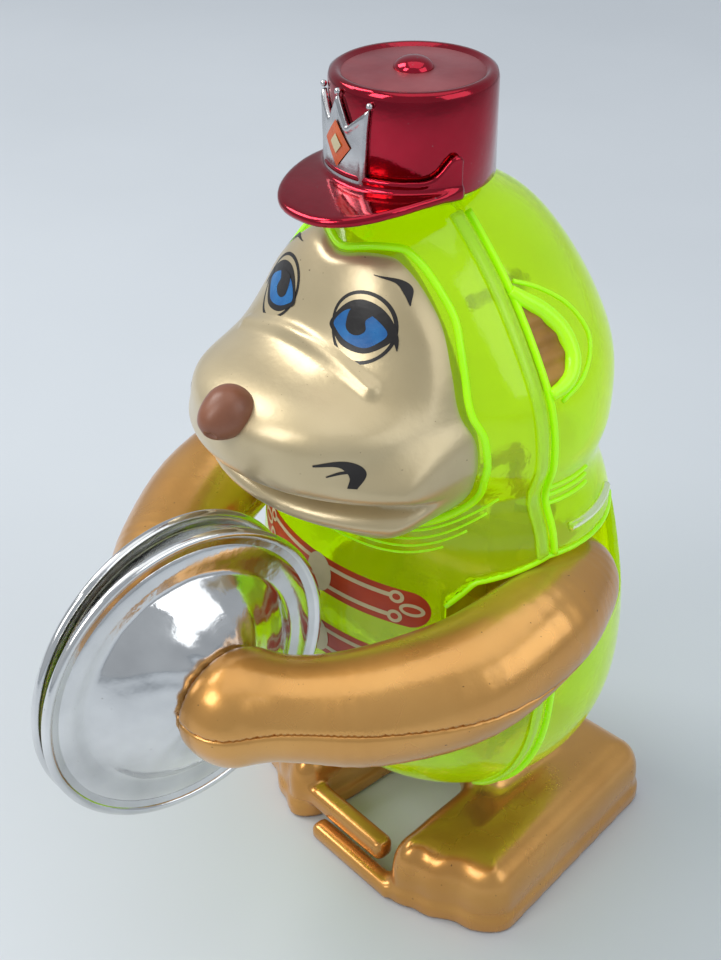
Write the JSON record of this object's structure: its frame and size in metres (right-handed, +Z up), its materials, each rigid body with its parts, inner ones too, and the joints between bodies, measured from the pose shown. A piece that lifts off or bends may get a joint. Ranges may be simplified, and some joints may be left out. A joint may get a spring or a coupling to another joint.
{
  "type": "wind-up toy monkey",
  "caption": "Wind-up toy monkey with clear shells, a peaked pillbox hat and swinging arms that clap two pressed tin cymbals above shuffling feet.",
  "frame": {"origin": "on the floor, under the middle of the outer box", "axes": "+Z up, the monkey faces -Y, its left side is +X"},
  "size_m": [0.091, 0.116, 0.1564],
  "materials": {
    "clear_shell": "clear fluorescent yellow-green moulded plastic, polished",
    "pearl_face": "pearl beige sprayed plastic",
    "nose_paint": "brown glossy paint",
    "gold_plastic": "copper-gold pearl plastic",
    "red_plating": "red vacuum plating on plastic",
    "badge_plating": "silver vacuum plating on plastic",
    "tin_plate": "bright tin plate, pressed",
    "white_plastic": "moulded natural nylon",
    "brass_gear": "stamped and cut brass",
    "steel": "plated sheet steel and turned steel"
  },
  "bodies": {
    "body": {"front_shell": "clear_shell", "rear_shell": "clear_shell", "face_mask": "pearl_face", "nose": "nose_paint", "left_ear": "clear_shell", "right_ear": "clear_shell", "left_ear_insert": "gold_plastic", "right_ear_insert": "gold_plastic", "hat_crown": "red_plating", "hat_visor": "red_plating", "hat_badge": "badge_plating", "hat_button": "red_plating", "shell_screws": "steel", "motor_plate_left": "steel", "motor_plate_right": "steel", "motor_pillars": "steel", "mainspring": "steel", "arm_bridge": "steel", "arm_pivot_pins": "steel", "rocker_pin": "steel"},
    "winder": {"winding_knob": "white_plastic", "winding_arbor": "steel", "great_wheel": "brass_gear"},
    "second_shaft": {"second_arbor": "steel", "second_pinion": "brass_gear", "second_wheel": "brass_gear"},
    "crank_shaft": {"crankshaft": "steel", "crank_pinion": "brass_gear", "left_crank": "white_plastic", "right_crank": "white_plastic", "arm_cam": "white_plastic"},
    "governor": {"governor_arbor": "steel", "governor_pinion": "white_plastic", "governor_flywheel": "brass_gear"},
    "rocker": {"arm_rocker": "white_plastic"},
    "left_arm": {"left_arm_upper": "gold_plastic", "left_arm_lower": "gold_plastic", "left_arm_hub": "gold_plastic", "left_arm_lever": "white_plastic", "left_cymbal": "tin_plate", "left_cymbal_rivet": "tin_plate"},
    "right_arm": {"right_arm_upper": "gold_plastic", "right_arm_lower": "gold_plastic", "right_arm_hub": "gold_plastic", "right_arm_lever": "white_plastic", "right_cymbal": "tin_plate", "right_cymbal_rivet": "tin_plate"},
    "left_foot": {"left_shoe": "gold_plastic", "left_leg_link": "white_plastic"},
    "right_foot": {"right_shoe": "gold_plastic", "right_leg_link": "white_plastic"}
  },
  "joints": [
    {"name": "winder_turn", "type": "hinge", "parent": "body", "child": "winder", "pos_m": [0, 0.033, 0.05], "axis": [1, 0, 0], "continuous": true},
    {"name": "second_turn", "type": "hinge", "parent": "body", "child": "second_shaft", "pos_m": [0, 0.02264, 0.03768], "axis": [1, 0, 0], "continuous": true},
    {"name": "crank_turn", "type": "hinge", "parent": "body", "child": "crank_shaft", "pos_m": [0, 0.034, 0.0295], "axis": [1, 0, 0], "continuous": true},
    {"name": "governor_turn", "type": "hinge", "parent": "body", "child": "governor", "pos_m": [0, 0.01112, 0.04433], "axis": [1, 0, 0], "continuous": true},
    {"name": "rocker_swing", "type": "hinge", "parent": "body", "child": "rocker", "pos_m": [0, 0.046, 0.05], "axis": [1, 0, 0], "range_deg": [0, 10.8]},
    {"name": "left_arm_swing", "type": "hinge", "parent": "body", "child": "left_arm", "pos_m": [0.019, 0.025, 0.0755], "axis": [0, 0, 1], "range_deg": [0, 24], "stiffness_Nm_per_rad": 0.01, "springref_deg": -5.73},
    {"name": "right_arm_swing", "type": "hinge", "parent": "body", "child": "right_arm", "pos_m": [-0.019, 0.025, 0.0755], "axis": [0, 0, 1], "range_deg": [-24, 0]},
    {"name": "left_foot_slide", "type": "slide", "parent": "body", "child": "left_foot", "axis": [0, 1, 0], "range_m": [-0.0025, 0.0025]},
    {"name": "right_foot_slide", "type": "slide", "parent": "body", "child": "right_foot", "axis": [0, 1, 0], "range_m": [-0.0025, 0.0025]}
  ],
  "couplings": [
    {"joint": "second_turn", "follows": "winder_turn", "ratio": -3.6},
    {"joint": "crank_turn", "follows": "winder_turn", "ratio": 10.8},
    {"joint": "governor_turn", "follows": "winder_turn", "ratio": 13.5},
    {"joint": "right_arm_swing", "follows": "left_arm_swing", "ratio": -1},
    {"joint": "rocker_swing", "follows": "left_arm_swing", "ratio": 0.45},
    {"joint": "right_foot_slide", "follows": "left_foot_slide", "ratio": -1}
  ]
}
